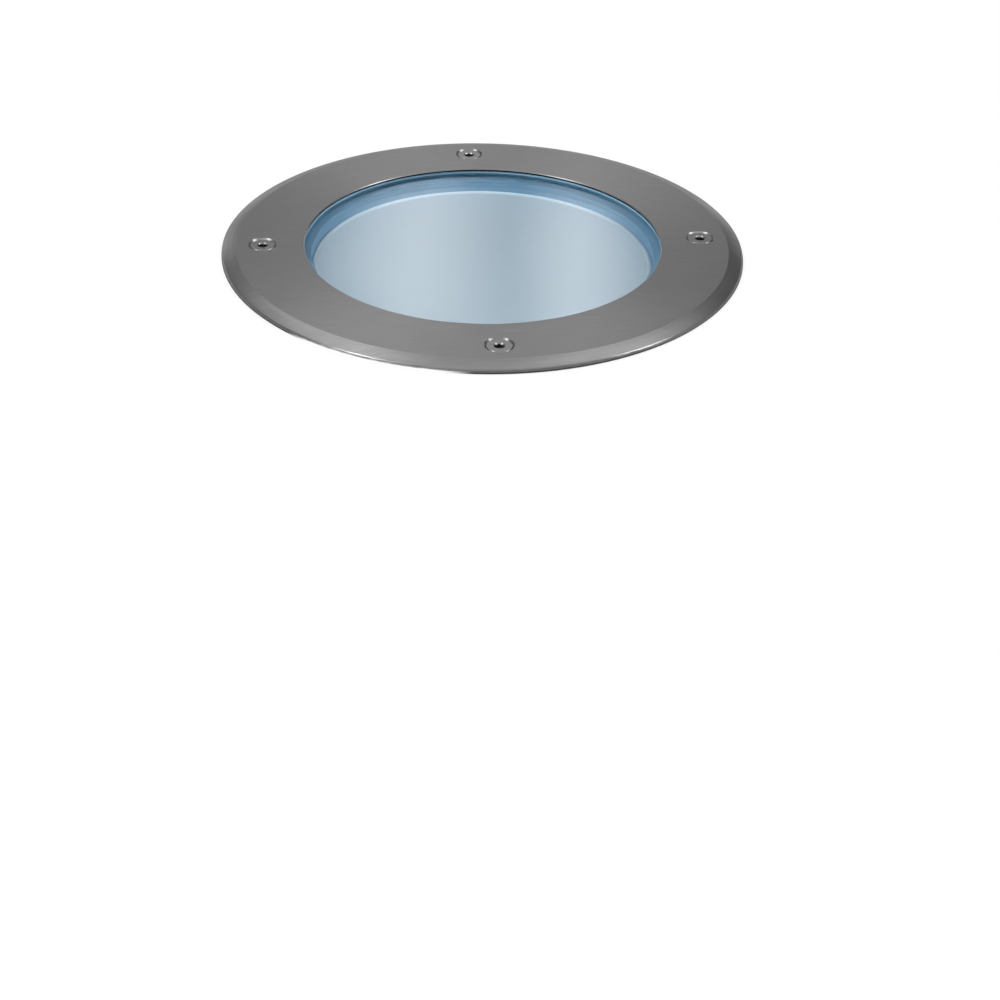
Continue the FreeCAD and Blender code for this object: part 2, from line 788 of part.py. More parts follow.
def driverBox():
    driver = piece("driver", up="bracket_top")
    case = sketchOn(driver, "case_outline", "XY_Plane")
    box(case, "0", "0", "driver_length", "driver_width")
    padded(driver, "case", case, "driver_thick")
    upright(driver, "case_corners", "driver_round")
    tabs = sketchOn(driver, "tab_outline", "XY_Plane")
    box(tabs, "0", "0", "driver_length + 2 * driver_tab", "driver_width / 2")
    padded(driver, "tabs", tabs, "driver_tab_thick")
    holes = sketchOn(driver, "tab_hole_outline", "XY_Plane", height="driver_tab_thick")
    for side in ("", "0 - "):
        circle(holes, f"{side}(driver_length + driver_tab) / 2", "0", "small_screw + screw_gap")
    pocketed(driver, "tab_holes", holes, "driver_tab_thick")


def driverBracket():
    bracket = piece("driver_bracket", up="post_top")
    reach, ear = "bracket_reach", "bracket_ear / 2"
    half = "driver_length / 2 + driver_tab + drop_gap"
    plate = sketchOn(bracket, "plate_outline", "XY_Plane")
    outline(plate, [
        (reach, f"0 - {ear}"), (reach, ear), (half, ear), (half, "bracket_side"),
        (f"0 - ({half})", "bracket_side"), (f"0 - ({half})", ear), (f"0 - {reach}", ear),
        (f"0 - {reach}", f"0 - {ear}"), (f"0 - ({half})", f"0 - {ear}"),
        (f"0 - ({half})", "0 - bracket_side"), (half, "0 - bracket_side"), (half, f"0 - {ear}"),
    ])
    padded(bracket, "plate", plate, "bracket_thick")
    for name, sign in (("front", "0 - "), ("back", "")):
        lip = sketchOn(bracket, f"{name}_lip_outline", "XY_Plane")
        box(lip, "0", f"{sign}(bracket_side - bracket_thick / 2)",
            "driver_length", "bracket_thick")
        padded(bracket, f"{name}_lip", lip, "bracket_lip")
    holes = sketchOn(bracket, "hole_outline", "XY_Plane", height="bracket_thick")
    for sign in ("", "0 - "):
        circle(holes, f"{sign}bracket_screw_place", "0", "middle_screw + screw_gap")
        circle(holes, f"{sign}(driver_length + driver_tab) / 2", "0", "small_screw + thread_fit")
    pocketed(bracket, "holes", holes, "bracket_thick")


def terminalBlock():
    block = piece("terminal_block", x="block_place_x", y="block_place_y", up="floor_top")
    shell = sketchOn(block, "shell_outline", "XY_Plane")
    box(shell, "0", "0", "block_length", "block_width")
    padded(block, "shell", shell, "block_thick")
    wells = sketchOn(block, "well_outline", "XY_Plane", height="block_thick")
    wires = sketchOn(block, "wire_outline", "XZ_Plane")
    for place in ("0 - block_pitch", "0", "block_pitch"):
        circle(wells, place, "0", "clamp_screw_radius + thread_fit")
        circle(wires, place, "block_thick / 3", "wire_hole_radius")
    pocketed(block, "wells", wells, "block_thick / 2")
    pocketed(block, "wire_holes", wires, "block_width", middle=True)


def terminalScrews():
    screws = piece("terminal_screws", x="block_place_x", y="block_place_y",
                   up="floor_top + block_thick / 2")
    rods = sketchOn(screws, "rod_outline", "XY_Plane")
    slots = sketchOn(screws, "slot_outline", "XY_Plane", height="clamp_screw_length")
    for place in ("0 - block_pitch", "0", "block_pitch"):
        circle(rods, place, "0", "clamp_screw_radius")
        box(slots, place, "0", "clamp_screw_radius * 2.2", "clamp_screw_radius / 3")
    padded(screws, "rods", rods, "clamp_screw_length")
    pocketed(screws, "slots", slots, "clamp_screw_radius / 2")


def earthWasher():
    washer = piece("earth_washer", x="earth_place_x", y="earth_place_y",
                   up="floor_top + earth_boss_height")
    turned(washer, "washer", [
        ("middle_screw + thread_fit", "0"), ("washer_radius", "0"),
        ("washer_radius", "washer_thick"), ("middle_screw + thread_fit", "washer_thick"),
    ])


def entryGasket(name, x, y, level, inner, thick):
    gasket = piece(name, x=x, y=y, up=f"{level} - {thick}")
    turned(gasket, "flat_ring", [
        (f"{inner} + soft_gap", "0"), (f"{inner} + entry_gasket_width", "0"),
        (f"{inner} + entry_gasket_width", thick), (f"{inner} + soft_gap", thick),
    ])


def glandBody():
    gland = piece("gland_body", y="0 - entry_place", up="entry_level")
    hexTop = "0 - entry_gasket_thick"
    hexEnd = "0 - entry_gasket_thick - gland_hex"
    nut = sketchOn(gland, "hex_outline", "XY_Plane", height=hexTop)
    hexagon(nut, "gland_across")
    padded(gland, "hex", nut, "gland_hex", down=True)
    top = "entry_wall + 2 * locknut_thick - entry_gap"
    turned(gland, "tube", [
        ("gland_bore", top),
        ("entry_radius - screw_point", top),
        ("entry_radius", f"{top} - screw_point"),
        ("entry_radius", f"{hexTop} - gland_hex / 2"),
        ("gland_collar", f"{hexTop} - gland_hex / 2"),
        ("gland_collar", f"{hexEnd} - gland_collar_length"),
        ("gland_bore", f"{hexEnd} - gland_collar_length"),
    ])
    bore = sketchOn(gland, "bore_outline", "XY_Plane", height="0")
    circle(bore, "0", "0", "gland_bore")
    pocketed(gland, "bore", bore, "entry_gasket_thick + gland_hex + gland_collar_length")
    mouth = sketchOn(gland, "mouth_outline", "XY_Plane", height=f"{hexEnd} - gland_collar_length")
    circle(mouth, "0", "0", "seal_radius + entry_gap")
    pocketed(gland, "mouth", mouth, "seal_length - screw_point", upward=True)


def glandLocknut():
    nut = piece("gland_locknut", y="0 - entry_place", up="floor_top")
    flats = sketchOn(nut, "flats_outline", "XY_Plane")
    hexagon(flats, "gland_across")
    circle(flats, "0", "0", "entry_radius + thread_fit")
    padded(nut, "flats", flats, "locknut_thick")


def glandSeal():
    level = "entry_level - entry_gasket_thick - gland_hex - gland_collar_length - screw_point"
    seal = piece("gland_seal", y="0 - entry_place", up=level)
    turned(seal, "bush", [
        ("seal_bore", "0"),
        ("seal_radius - screw_point", "0"),
        ("seal_radius", "screw_point"),
        ("seal_radius", "seal_length"),
        ("seal_bore", "seal_length"),
    ])


def glandDomeNut():
    level = "entry_level - entry_gasket_thick - gland_hex - soft_gap"
    nut = piece("gland_dome_nut", y="0 - entry_place", up=level)
    flats = sketchOn(nut, "flats_outline", "XY_Plane")
    hexagon(flats, "gland_across")
    padded(nut, "flats", flats, "dome_length", down=True)
    # The dome: what lies outside this profile is turned away from the hexagon.
    grooved(nut, "dome", [
        ("dome_radius", "0"),
        ("dome_radius", "0 - dome_length / 2"),
        ("dome_radius * 0.9", "0 - dome_length * 0.8"),
        ("dome_bore + 2 * reflector_wall", "0 - dome_length"),
        ("gland_across", "0 - dome_length"),
        ("gland_across", "0"),
    ])
    thread = sketchOn(nut, "thread_outline", "XY_Plane")
    circle(thread, "0", "0", "gland_collar + thread_fit")
    pocketed(nut, "thread", thread, "gland_collar_length + screw_point")
    bore = sketchOn(nut, "bore_outline", "XY_Plane")
    circle(bore, "0", "0", "dome_bore")
    pocketed(nut, "bore", bore, "dome_length")


def blankingPlug():
    plug = piece("blanking_plug", y="entry_place", up="entry_level")
    seat = "0 - entry_gasket_thick"
    turned(plug, "plug", [
        ("0", f"{seat} - plug_head_thick"),
        ("plug_head_radius - screw_point", f"{seat} - plug_head_thick"),
        ("plug_head_radius", f"{seat} - plug_head_thick + screw_point"),
        ("plug_head_radius", seat),
        ("entry_radius", seat),
        ("entry_radius", "entry_wall - screw_point"),
        ("0", "entry_wall - screw_point"),
    ])
    slot = sketchOn(plug, "slot_outline", "XY_Plane", height=f"{seat} - plug_head_thick")
    box(slot, "0", "0", "plug_head_radius * 2", "plug_slot_width")
    pocketed(plug, "slot", slot, "plug_head_thick / 2", upward=True)


def pressureVent():
    vent = piece("pressure_vent", x="0 - vent_place", y="0 - vent_place", up="housing_bottom")
    seat = "0 - vent_gasket_thick"
    turned(vent, "cap_and_stub", [
        ("0", f"{seat} - vent_head_thick"),
        ("vent_head_radius - screw_point", f"{seat} - vent_head_thick"),
        ("vent_head_radius", f"{seat} - vent_head_thick + screw_point"),
        ("vent_head_radius", seat),
        ("vent_radius", seat),
        ("vent_radius", "floor_thick - screw_point"),
        ("0", "floor_thick - screw_point"),
    ])
    slots = sketchOn(vent, "slot_outline", "XZ_Plane")
    box(slots, "0", f"{seat} - vent_head_thick / 2", "vent_slot_width", "vent_head_thick / 2")
    slot = pocketed(vent, "slot", slots, "vent_head_radius * 2", middle=True)
    repeated(vent, "slots", [slot], screwCount)


# ---- what stays in the ground ----

def installationSleeve():
    sleeve = piece("installation_sleeve")
    waistEnd = "0 - waist_depth"
    turned(sleeve, "wall", [
        ("sleeve_radius", "0"),
        ("sleeve_radius", "0 - collar_depth"),
        ("body_radius", waistEnd),
        ("body_radius - sleeve_draft", "foot_top"),
        ("foot_radius", "foot_top"),
        ("foot_radius", "0 - sleeve_depth"),
        ("foot_inner", "0 - sleeve_depth"),
        ("foot_inner", "foot_top"),
        ("body_radius - sleeve_draft - sleeve_wall", "foot_top"),
        ("body_radius - sleeve_wall", waistEnd),
        ("sleeve_inner", "0 - collar_depth"),
        ("sleeve_inner", "0"),
    ])
    turned(sleeve, "stiffening_band", [
        ("body_radius - sleeve_draft - sleeve_wall / 2", "0 - band_depth - rib_thick / 2"),
        ("foot_radius", "0 - band_depth - rib_thick / 2"),
        ("foot_radius", "0 - band_depth + rib_thick / 2"),
        ("body_radius - sleeve_draft - sleeve_wall / 2", "0 - band_depth + rib_thick / 2"),
    ])
    sleeveNotches(sleeve)
    sleeveBosses(sleeve)
    sleeveRibs(sleeve)


def sleeveRibs(sleeve):
    # Upright ribs key the sleeve into the backfill. The first stands clear of the notch.
    rib = sketchOn(sleeve, "rib_outline", "XZ_Plane")
    outline(rib, [
        ("body_radius - sleeve_draft - sleeve_wall / 2", "foot_top"),
        ("foot_radius", "foot_top"),
        ("foot_radius", "0 - waist_depth - sleeve_waist"),
        ("body_radius - sleeve_wall / 2", "0 - waist_depth"),
    ])
    rib.AttachmentOffset.Rotation = FreeCAD.Rotation(FreeCAD.Vector(0, 1, 0), 180 / ribCount)
    blade = padded(sleeve, "rib", rib, "rib_thick", middle=True)
    repeated(sleeve, "ribs", [blade], ribCount)


def sleeveBosses(sleeve):
    boss = sketchOn(sleeve, "boss_outline", "XY_Plane", height="flange_under")
    circle(boss, "screw_circle", "0", "boss_radius")
    column = padded(sleeve, "boss", boss, "boss_height", down=True)
    web = sketchOn(sleeve, "boss_web_outline", "XY_Plane", height="flange_under")
    outline(web, [
        ("screw_circle", "0 - boss_web"), ("sleeve_radius - sleeve_wall / 2", "0 - boss_web"),
        ("sleeve_radius - sleeve_wall / 2", "boss_web"), ("screw_circle", "boss_web"),
    ])
    bridge = padded(sleeve, "boss_bridge", web, "collar_depth + flange_under", down=True)
    hole = grooved(sleeve, "insert_hole", [
        ("0", "flange_under"),
        ("insert_radius + thread_fit", "flange_under"),
        ("insert_radius + thread_fit", "flange_under - insert_length - screw_point"),
        ("hole_radius", "flange_under - insert_length - screw_point"),
        ("hole_radius", "flange_under - boss_hole_depth"),
        ("0", "flange_under - boss_hole_depth"),
    ], x="screw_circle")
    repeated(sleeve, "bosses", [column, bridge, hole], screwCount)


def sleeveNotches(sleeve):
    # Two arched cable notches face each other and are open at the foot.
    arch = "notch_height - notch_width / 2 - sleeve_depth"
    side = "notch_width / 2"
    legs = sketchOn(sleeve, "notch_outline", "YZ_Plane")
    outline(legs, [
        (f"0 - {side}", "0 - sleeve_depth"), (side, "0 - sleeve_depth"),
        (side, arch), (f"0 - {side}", arch),
    ])
    pocketed(sleeve, "notches", legs, "2 * sleeve_radius", middle=True)
    crown = sketchOn(sleeve, "notch_crown_outline", "YZ_Plane")
    circle(crown, "0", arch, side)
    pocketed(sleeve, "notch_crowns", crown, "2 * sleeve_radius", middle=True)


def threadedInserts():
    inserts = piece("threaded_inserts", up="flange_under - insert_length - screw_point")
    inner, outer = "screw_radius + thread_fit", "insert_radius"
    groove = "insert_radius - insert_wall / 3"
    one = turned(inserts, "insert", [
        (inner, "0"), (outer, "0"),
        (outer, "insert_length * 0.4"), (groove, "insert_length * 0.45"),
        (groove, "insert_length * 0.55"), (outer, "insert_length * 0.6"),
        (outer, "insert_length"), (inner, "insert_length"),
    ], x="screw_circle")
    repeated(inserts, "inserts", [one], screwCount)


def build():
    fillSheet()
    bezelRing()
    coverGlass()
    lipGasket()
    screwRetainers()
    for place in range(1, screwCount + 1):
        bezelScrew(place)
    housingBody()
    glassSeatGasket()
    diffuserHat()
    reflectorCone()
    heatSpreader()
    ledBoard()
    ledChips()
    ledConnector()
    panScrews("board_screws", "small_screw", "small_head", "small_head_thick",
              "(board_thick + spreader_thick)", "board_screw_circle", screwCount,
              "spreader_top + board_thick")
    panScrews("spreader_screws", "middle_screw", "middle_head", "middle_head_thick",
              "middle_length", "lug_circle", screwCount, "spreader_top", turn=45)
    driverBox()
    driverBracket()
    panScrews("driver_screws", "small_screw", "small_head", "small_head_thick",
              "(driver_tab_thick + bracket_thick)", "((driver_length + driver_tab) / 2)", 2,
              "bracket_top + driver_tab_thick")
    panScrews("bracket_screws", "middle_screw", "middle_head", "middle_head_thick",
              "middle_length", "bracket_screw_place", 2, "bracket_top")
    terminalBlock()
    terminalScrews()
    earthWasher()
    earth = panScrews("earth_screw", "middle_screw", "middle_head", "middle_head_thick",
                      "(earth_boss_height + washer_thick)", "0", 1,
                      "floor_top + earth_boss_height + washer_thick")
    earth.setExpression("Placement.Base.x", formula("earth_place_x"))
    earth.setExpression("Placement.Base.y", formula("earth_place_y"))
    entryGasket("gland_gasket", "0", "0 - entry_place", "entry_level", "entry_radius",
                "entry_gasket_thick")
    entryGasket("plug_gasket", "0", "entry_place", "entry_level", "entry_radius",
                "entry_gasket_thick")
    entryGasket("vent_gasket", "0 - vent_place", "0 - vent_place", "housing_bottom",
                "vent_radius", "vent_gasket_thick")
    glandBody()
    glandLocknut()
    glandSeal()
    glandDomeNut()
    blankingPlug()
    pressureVent()
    installationSleeve()
    threadedInserts()


def checkAndWrite():
    doc.recompute()
    for item in doc.Objects:
        if "Invalid" in item.State or "Error" in item.State:
            raise RuntimeError(f"{item.Label} failed: {item.State}")
    os.makedirs("parts", exist_ok=True)
    for body in pieces:
        shape = body.Shape
        if shape.isNull() or not shape.isValid():
            raise RuntimeError(f"{body.Label} has no valid shape")
    for body in pieces:
        body.Shape.exportStep(f"parts/{body.Label}.step")
        print(body.Label, len(body.Shape.Solids), round(body.Shape.Volume))


build()
checkAndWrite()
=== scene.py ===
# In ground well light: finishes, screw threads, ground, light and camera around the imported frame.
import math

import bmesh
import bpy
from mathutils import Matrix, Vector


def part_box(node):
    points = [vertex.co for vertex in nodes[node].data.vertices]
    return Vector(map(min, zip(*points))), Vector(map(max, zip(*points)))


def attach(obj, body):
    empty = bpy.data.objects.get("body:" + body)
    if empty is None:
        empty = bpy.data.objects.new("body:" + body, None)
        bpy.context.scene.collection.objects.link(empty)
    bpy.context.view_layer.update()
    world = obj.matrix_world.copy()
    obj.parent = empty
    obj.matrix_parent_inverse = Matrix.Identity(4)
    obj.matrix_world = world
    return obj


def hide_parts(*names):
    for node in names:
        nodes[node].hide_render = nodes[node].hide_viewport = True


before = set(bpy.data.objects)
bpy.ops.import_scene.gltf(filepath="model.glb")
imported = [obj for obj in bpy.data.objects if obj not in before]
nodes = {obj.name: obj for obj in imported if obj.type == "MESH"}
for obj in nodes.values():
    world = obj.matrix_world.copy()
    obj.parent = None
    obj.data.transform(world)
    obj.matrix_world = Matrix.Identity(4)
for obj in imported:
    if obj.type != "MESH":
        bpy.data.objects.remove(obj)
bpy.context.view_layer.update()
scene = bpy.context.scene
scene.view_settings.view_transform = "Standard"
millimetre = 0.001
print("frame loaded with", len(nodes), "nodes")


# the functions that all materials share

def hexColour(code):
    # sRGB hex to the linear values that shaders take
    channels = [int(code[start:start + 2], 16) / 255 for start in (1, 3, 5)]
    linear = [c / 12.92 if c <= 0.04045 else ((c + 0.055) / 1.055) ** 2.4 for c in channels]
    return (*linear, 1.0)


def addNode(tree, kind, settings=None, links=None):
    # settings are the node's own options or its inputs' values; links go from other nodes' outputs
    node = tree.nodes.new(kind)
    for name, value in (settings or {}).items():
        if isinstance(name, str) and hasattr(node, name):
            setattr(node, name, value)
        else:
            node.inputs[name].default_value = value
    for name, source in (links or {}).items():
        tree.links.new(source, node.inputs[name])
    return node


def placeInMm(tree):
    # all pieces share the light's own origin, so this is the place on the whole light
    place = addNode(tree, "ShaderNodeTexCoord")
    inMm = addNode(tree, "ShaderNodeVectorMath", {"operation": "SCALE", "Scale": 1 / millimetre},
                   {0: place.outputs["Object"]})
    return inMm.outputs[0]


def startMaterial(name, surface):
    # a material with one Principled shader, and the place on the piece in millimetres
    material = bpy.data.materials.new(name)
    material.use_nodes = True
    tree = material.node_tree
    shader = tree.nodes["Principled BSDF"]
    for socket, value in surface.items():
        shader.inputs[socket].default_value = value
    material.diffuse_color = surface["Base Color"]
    return material, tree, shader, placeInMm(tree)


def varyColour(tree, shader, pattern, first, second, spread):
    # two tones of the same material, following a pattern between 0.5 - spread and 0.5 + spread
    toTone = addNode(tree, "ShaderNodeMapRange",
                     {"From Min": 0.5 - spread, "From Max": 0.5 + spread}, {"Value": pattern})
    tones = addNode(tree, "ShaderNodeMix", {"data_type": "RGBA"}, {"Factor": toTone.outputs[0]})
    tones.inputs[6].default_value = hexColour(first)
    tones.inputs[7].default_value = hexColour(second)
    tree.links.new(tones.outputs[2], shader.inputs["Base Color"])


def paintShade(tree, shader, mask, tone):
    # another tone where the mask is one: painted shade
    before = shader.inputs["Base Color"].links[0].from_socket
    mixed = addNode(tree, "ShaderNodeMix", {"data_type": "RGBA"}, {"Factor": mask, 6: before})
    mixed.inputs[7].default_value = hexColour(tone)
    tree.links.new(mixed.outputs[2], shader.inputs["Base Color"])


def varyRoughness(tree, shader, pattern, smooth, rough):
    # a noise pattern seldom leaves the range from 0.3 to 0.7
    toRoughness = addNode(tree, "ShaderNodeMapRange",
                          {"From Min": 0.3, "From Max": 0.7, "To Min": smooth, "To Max": rough},
                          {"Value": pattern})
    tree.links.new(toRoughness.outputs[0], shader.inputs["Roughness"])


def raiseSurface(tree, shader, pattern, depthMm):
    bump = addNode(tree, "ShaderNodeBump", {"Distance": depthMm * millimetre}, {"Height": pattern})
    tree.links.new(bump.outputs[0], shader.inputs["Normal"])


def moulded(name, look):
    # plastic or rubber from a mould: two close tones in wide patches, and the mould's fine grain
    material, tree, shader, place = startMaterial(name, {
        "Base Color": hexColour(look["colour"]), "Roughness": look["roughness"], "IOR": look["ior"]})
    polished, worn = look["roughness"] - 0.06, look["roughness"] + 0.08
    patches = addNode(tree, "ShaderNodeTexNoise", {"Scale": 1 / look["patchMm"], "Detail": 4},
                      {"Vector": place})
    grain = addNode(tree, "ShaderNodeTexNoise", {"Scale": 1 / look["grainMm"], "Detail": 2},
                    {"Vector": place})
    varyColour(tree, shader, patches.outputs[0], look["colour"], look["otherTone"], spread=0.18)
    varyRoughness(tree, shader, grain.outputs[0], polished, worn)
    raiseSurface(tree, shader, grain.outputs[0], look["depthMm"])
    return material


def radiusFromAxis(tree, place):
    flat = addNode(tree, "ShaderNodeVectorMath", {"operation": "MULTIPLY", 1: (1, 1, 0)}, {0: place})
    radius = addNode(tree, "ShaderNodeVectorMath", {"operation": "LENGTH"}, {0: flat.outputs[0]})
    return radius.outputs["Value"]


finishes = {}  # one material for each of the record's slots

# Stainless steel, face turned on a lathe: mid grey, its reflections drawn out across the fine round lines.
# The real feed of about 0.1 mm is too fine to show, so the lines are drawn 0.45 mm apart. A faint grain
# runs across from a last pass with a cloth, and the wall of the opening is painted a dark tone as painted
# shade.
turnedRing = {"colour": "#b9b7b8", "otherTone": "#c9c8c9", "lineMm": 0.45, "lineDepthMm": 0.004,
              "grainMm": (16, 0.8, 4), "smudgeMm": 28, "smooth": 0.27, "rough": 0.36,
              "anisotropy": 0.75, "quarterTurn": 0.25, "grainShare": 0.6, "wall": "#23292c",
              "wallRadiusMm": 82.3, "wallTopMm": 3.85}


def turnedStainless(name, look):
    material, tree, shader, place = startMaterial(name, {
        "Base Color": hexColour(look["colour"]), "Metallic": 1, "Anisotropic": look["anisotropy"],
        "Anisotropic Rotation": look["quarterTurn"]})
    around = addNode(tree, "ShaderNodeTangent", {"direction_type": "RADIAL", "axis": "Z"})
    tree.links.new(around.outputs[0], shader.inputs["Tangent"])
    radius = radiusFromAxis(tree, place)
    turned = addNode(tree, "ShaderNodeTexNoise",
                     {"noise_dimensions": "1D", "Scale": 1 / look["lineMm"], "Detail": 3}, {"W": radius})
    lines = turned.outputs[0]
    smudges = addNode(tree, "ShaderNodeTexNoise", {"Scale": 1 / look["smudgeMm"], "Detail": 5},
                      {"Vector": place})
    across = addNode(tree, "ShaderNodeVectorMath", {"operation": "DIVIDE", 1: look["grainMm"]}, {0: place})
    grain = addNode(tree, "ShaderNodeTexNoise", {"Scale": 1, "Detail": 5}, {"Vector": across.outputs[0]})
    both = addNode(tree, "ShaderNodeMix", {"Factor": look["grainShare"]},
                   {"A": lines, "B": grain.outputs[0]})
    varyColour(tree, shader, both.outputs[0], look["colour"], look["otherTone"], spread=0.2)
    varyRoughness(tree, shader, smudges.outputs[0], look["smooth"], look["rough"])
    raiseSurface(tree, shader, lines, look["lineDepthMm"])

    # painted shade: the wall of the opening, inside 82.3 mm and below 3.85 mm, is painted a dark tone
    inWall = addNode(tree, "ShaderNodeMath", {"operation": "LESS_THAN", 1: look["wallRadiusMm"]},
                     {0: radius})
    height = addNode(tree, "ShaderNodeSeparateXYZ", None, {0: place})
    below = addNode(tree, "ShaderNodeMath", {"operation": "LESS_THAN", 1: look["wallTopMm"]},
                    {0: height.outputs[2]})
    wall = addNode(tree, "ShaderNodeMath", {"operation": "MULTIPLY"},
                   {0: inWall.outputs[0], 1: below.outputs[0]})
    paintShade(tree, shader, wall.outputs[0], look["wall"])
    return material


finishes["turned_stainless"] = turnedStainless("turnedStainless", turnedRing)

# Stainless screw steel, cold headed and tumbled: brighter than the ring, soft even shine with tiny dents.
headedScrew = {"colour": "#bcbbbd", "otherTone": "#cbcacc", "dentMm": 1.5, "depthMm": 0.005,
               "smooth": 0.26, "rough": 0.36}
# The socket's walls carry painted shade: a darker tone, painted by place, where the hollow lies in shade.
socket = {"tone": "#8f8e8f", "circleMm": 101.2, "radiusMm": 2.35, "topMm": 3.35}


def formedMetal(name, look):
    material, tree, shader, place = startMaterial(name, {
        "Base Color": hexColour(look["colour"]), "Metallic": 1})
    dents = addNode(tree, "ShaderNodeTexNoise", {"Scale": 1 / look["dentMm"], "Detail": 3},
                    {"Vector": place})
    varyColour(tree, shader, dents.outputs[0], look["colour"], look["otherTone"], spread=0.2)
    varyRoughness(tree, shader, dents.outputs[0], look["smooth"], look["rough"])
    raiseSurface(tree, shader, dents.outputs[0], look["depthMm"])
    return material


finishes["stainless_screw"] = formedMetal("headedScrewSteel", headedScrew)


def paintSocketShade(material, look):
    # all four screws lie on the X and Y axes, so the larger of |x| and |y| measures towards them
    tree = material.node_tree
    place = placeInMm(tree)
    sizes = addNode(tree, "ShaderNodeVectorMath", {"operation": "ABSOLUTE"}, {0: place})
    parts = addNode(tree, "ShaderNodeSeparateXYZ", None, {0: sizes.outputs[0]})
    height = addNode(tree, "ShaderNodeSeparateXYZ", None, {0: place})
    far = addNode(tree, "ShaderNodeMath", {"operation": "MAXIMUM"},
                  {0: parts.outputs[0], 1: parts.outputs[1]})
    side = addNode(tree, "ShaderNodeMath", {"operation": "MINIMUM"},
                   {0: parts.outputs[0], 1: parts.outputs[1]})
    along = addNode(tree, "ShaderNodeMath", {"operation": "SUBTRACT", 1: look["circleMm"]},
                    {0: far.outputs[0]})
    offset = addNode(tree, "ShaderNodeCombineXYZ", None, {0: along.outputs[0], 1: side.outputs[0]})
    radius = addNode(tree, "ShaderNodeVectorMath", {"operation": "LENGTH"}, {0: offset.outputs[0]})
    within = addNode(tree, "ShaderNodeMath", {"operation": "LESS_THAN", 1: look["radiusMm"]},
                     {0: radius.outputs["Value"]})
    below = addNode(tree, "ShaderNodeMath", {"operation": "LESS_THAN", 1: look["topMm"]},
                    {0: height.outputs[2]})
    inside = addNode(tree, "ShaderNodeMath", {"operation": "MULTIPLY"},
                     {0: within.outputs[0], 1: below.outputs[0]})
    # painted shade: the socket walls, within 2.35 mm of a screw's axis and below 3.35 mm, take a darker tone
    paintShade(tree, tree.nodes["Principled BSDF"], inside.outputs[0], look["tone"])


paintSocketShade(finishes["stainless_screw"], socket)

# Zinc plated steel sheet, pressed: pale bluish grey, a little cloudy.
finishes["zinc_steel"] = formedMetal("zincPlatedSteel", {
    "colour": "#b7bcc2", "otherTone": "#cfd3d6", "dentMm": 3.5, "depthMm": 0.01,
    "smooth": 0.3, "rough": 0.45})

# Brass, turned from bar: warm yellow, fine bright shine.
finishes["brass"] = formedMetal("turnedBrass", {
    "colour": "#c9a04e", "otherTone": "#d8b566", "dentMm": 0.5, "depthMm": 0.006,
    "smooth": 0.22, "rough": 0.34})

# Tempered float glass, polished: clear, with the faint blue of a thick pane.
pane = {"colour": "#eaf5fc", "ior": 1.52, "roughness": 0.0, "waveMm": 60, "waveDepthMm": 0.004}


def temperedGlass(name, look):
    material, tree, shader, place = startMaterial(name, {
        "Base Color": hexColour(look["colour"]), "Roughness": look["roughness"], "IOR": look["ior"],
        "Transmission Weight": 1})
    waves = addNode(tree, "ShaderNodeTexNoise", {"Scale": 1 / look["waveMm"], "Detail": 1},
                    {"Vector": place})
    raiseSurface(tree, shader, waves.outputs[0], look["waveDepthMm"])
    return material


finishes["tempered_glass"] = temperedGlass("temperedGlass", pane)

# Acrylic, moulded with a satin face: cool white, soft wide sheen and a faint grain that runs across.
# The bead round its face has a painted highlight: a weak glow on its +Y side, painted in place of the bright
# reflection that this side shows from the front.
satin = {"colour": "#eef1f3", "otherTone": "#f5f7f8", "grainMm": (22, 0.9, 6), "depthMm": 0.012,
         "smooth": 0.36, "rough": 0.46, "ior": 1.49,
         "beadStartMm": 76.0, "beadFullMm": 76.8, "beadPaintedHighlight": 0.3, "glowFrom": 0.35, "glowFull": 0.8}


def satinAcrylic(name, look):
    material, tree, shader, place = startMaterial(name, {
        "Base Color": hexColour(look["colour"]), "IOR": look["ior"]})
    across = addNode(tree, "ShaderNodeVectorMath", {"operation": "DIVIDE", 1: look["grainMm"]}, {0: place})
    grain = addNode(tree, "ShaderNodeTexNoise", {"Scale": 1, "Detail": 4}, {"Vector": across.outputs[0]})
    varyColour(tree, shader, grain.outputs[0], look["colour"], look["otherTone"], spread=0.25)
    varyRoughness(tree, shader, grain.outputs[0], look["smooth"], look["rough"])
    raiseSurface(tree, shader, grain.outputs[0], look["depthMm"])

    radius = radiusFromAxis(tree, place)
    # painted highlight: an emission on the bead, strongest on its far (+Y) side
    bead = addNode(tree, "ShaderNodeMapRange", {
        "From Min": look["beadStartMm"], "From Max": look["beadFullMm"], "To Max": look["beadPaintedHighlight"]},
        {"Value": radius})
    parts = addNode(tree, "ShaderNodeSeparateXYZ", None, {0: place})
    farness = addNode(tree, "ShaderNodeMath", {"operation": "DIVIDE"},
                      {0: parts.outputs[1], 1: radius})
    farSide = addNode(tree, "ShaderNodeMapRange",
                      {"From Min": look["glowFrom"], "From Max": look["glowFull"]},
                      {"Value": farness.outputs[0]})
    paintedHighlight = addNode(tree, "ShaderNodeMath", {"operation": "MULTIPLY"},
                   {0: bead.outputs[0], 1: farSide.outputs[0]})
    shader.inputs["Emission Color"].default_value = hexColour(look["otherTone"])
    tree.links.new(paintedHighlight.outputs[0], shader.inputs["Emission Strength"])
    return material


finishes["satin_diffuser"] = satinAcrylic("satinAcrylic", satin)

# Aluminium, die cast and powder coated: dark grey, dull, with the coat's orange peel.
finishes["cast_housing"] = moulded("powderCoatedCasting", {
    "colour": "#3a3c3f", "otherTone": "#44464a", "roughness": 0.5, "ior": 1.5,
    "patchMm": 35, "grainMm": 1.1, "depthMm": 0.03})

# Aluminium plate, rolled: silvery, with straight rolling lines along X.
rolledPlate = {"colour": "#c3c5c7", "otherTone": "#d0d2d3", "lineMm": (30, 0.5, 0.5), "depthMm": 0.006,
               "smooth": 0.3, "rough": 0.42}


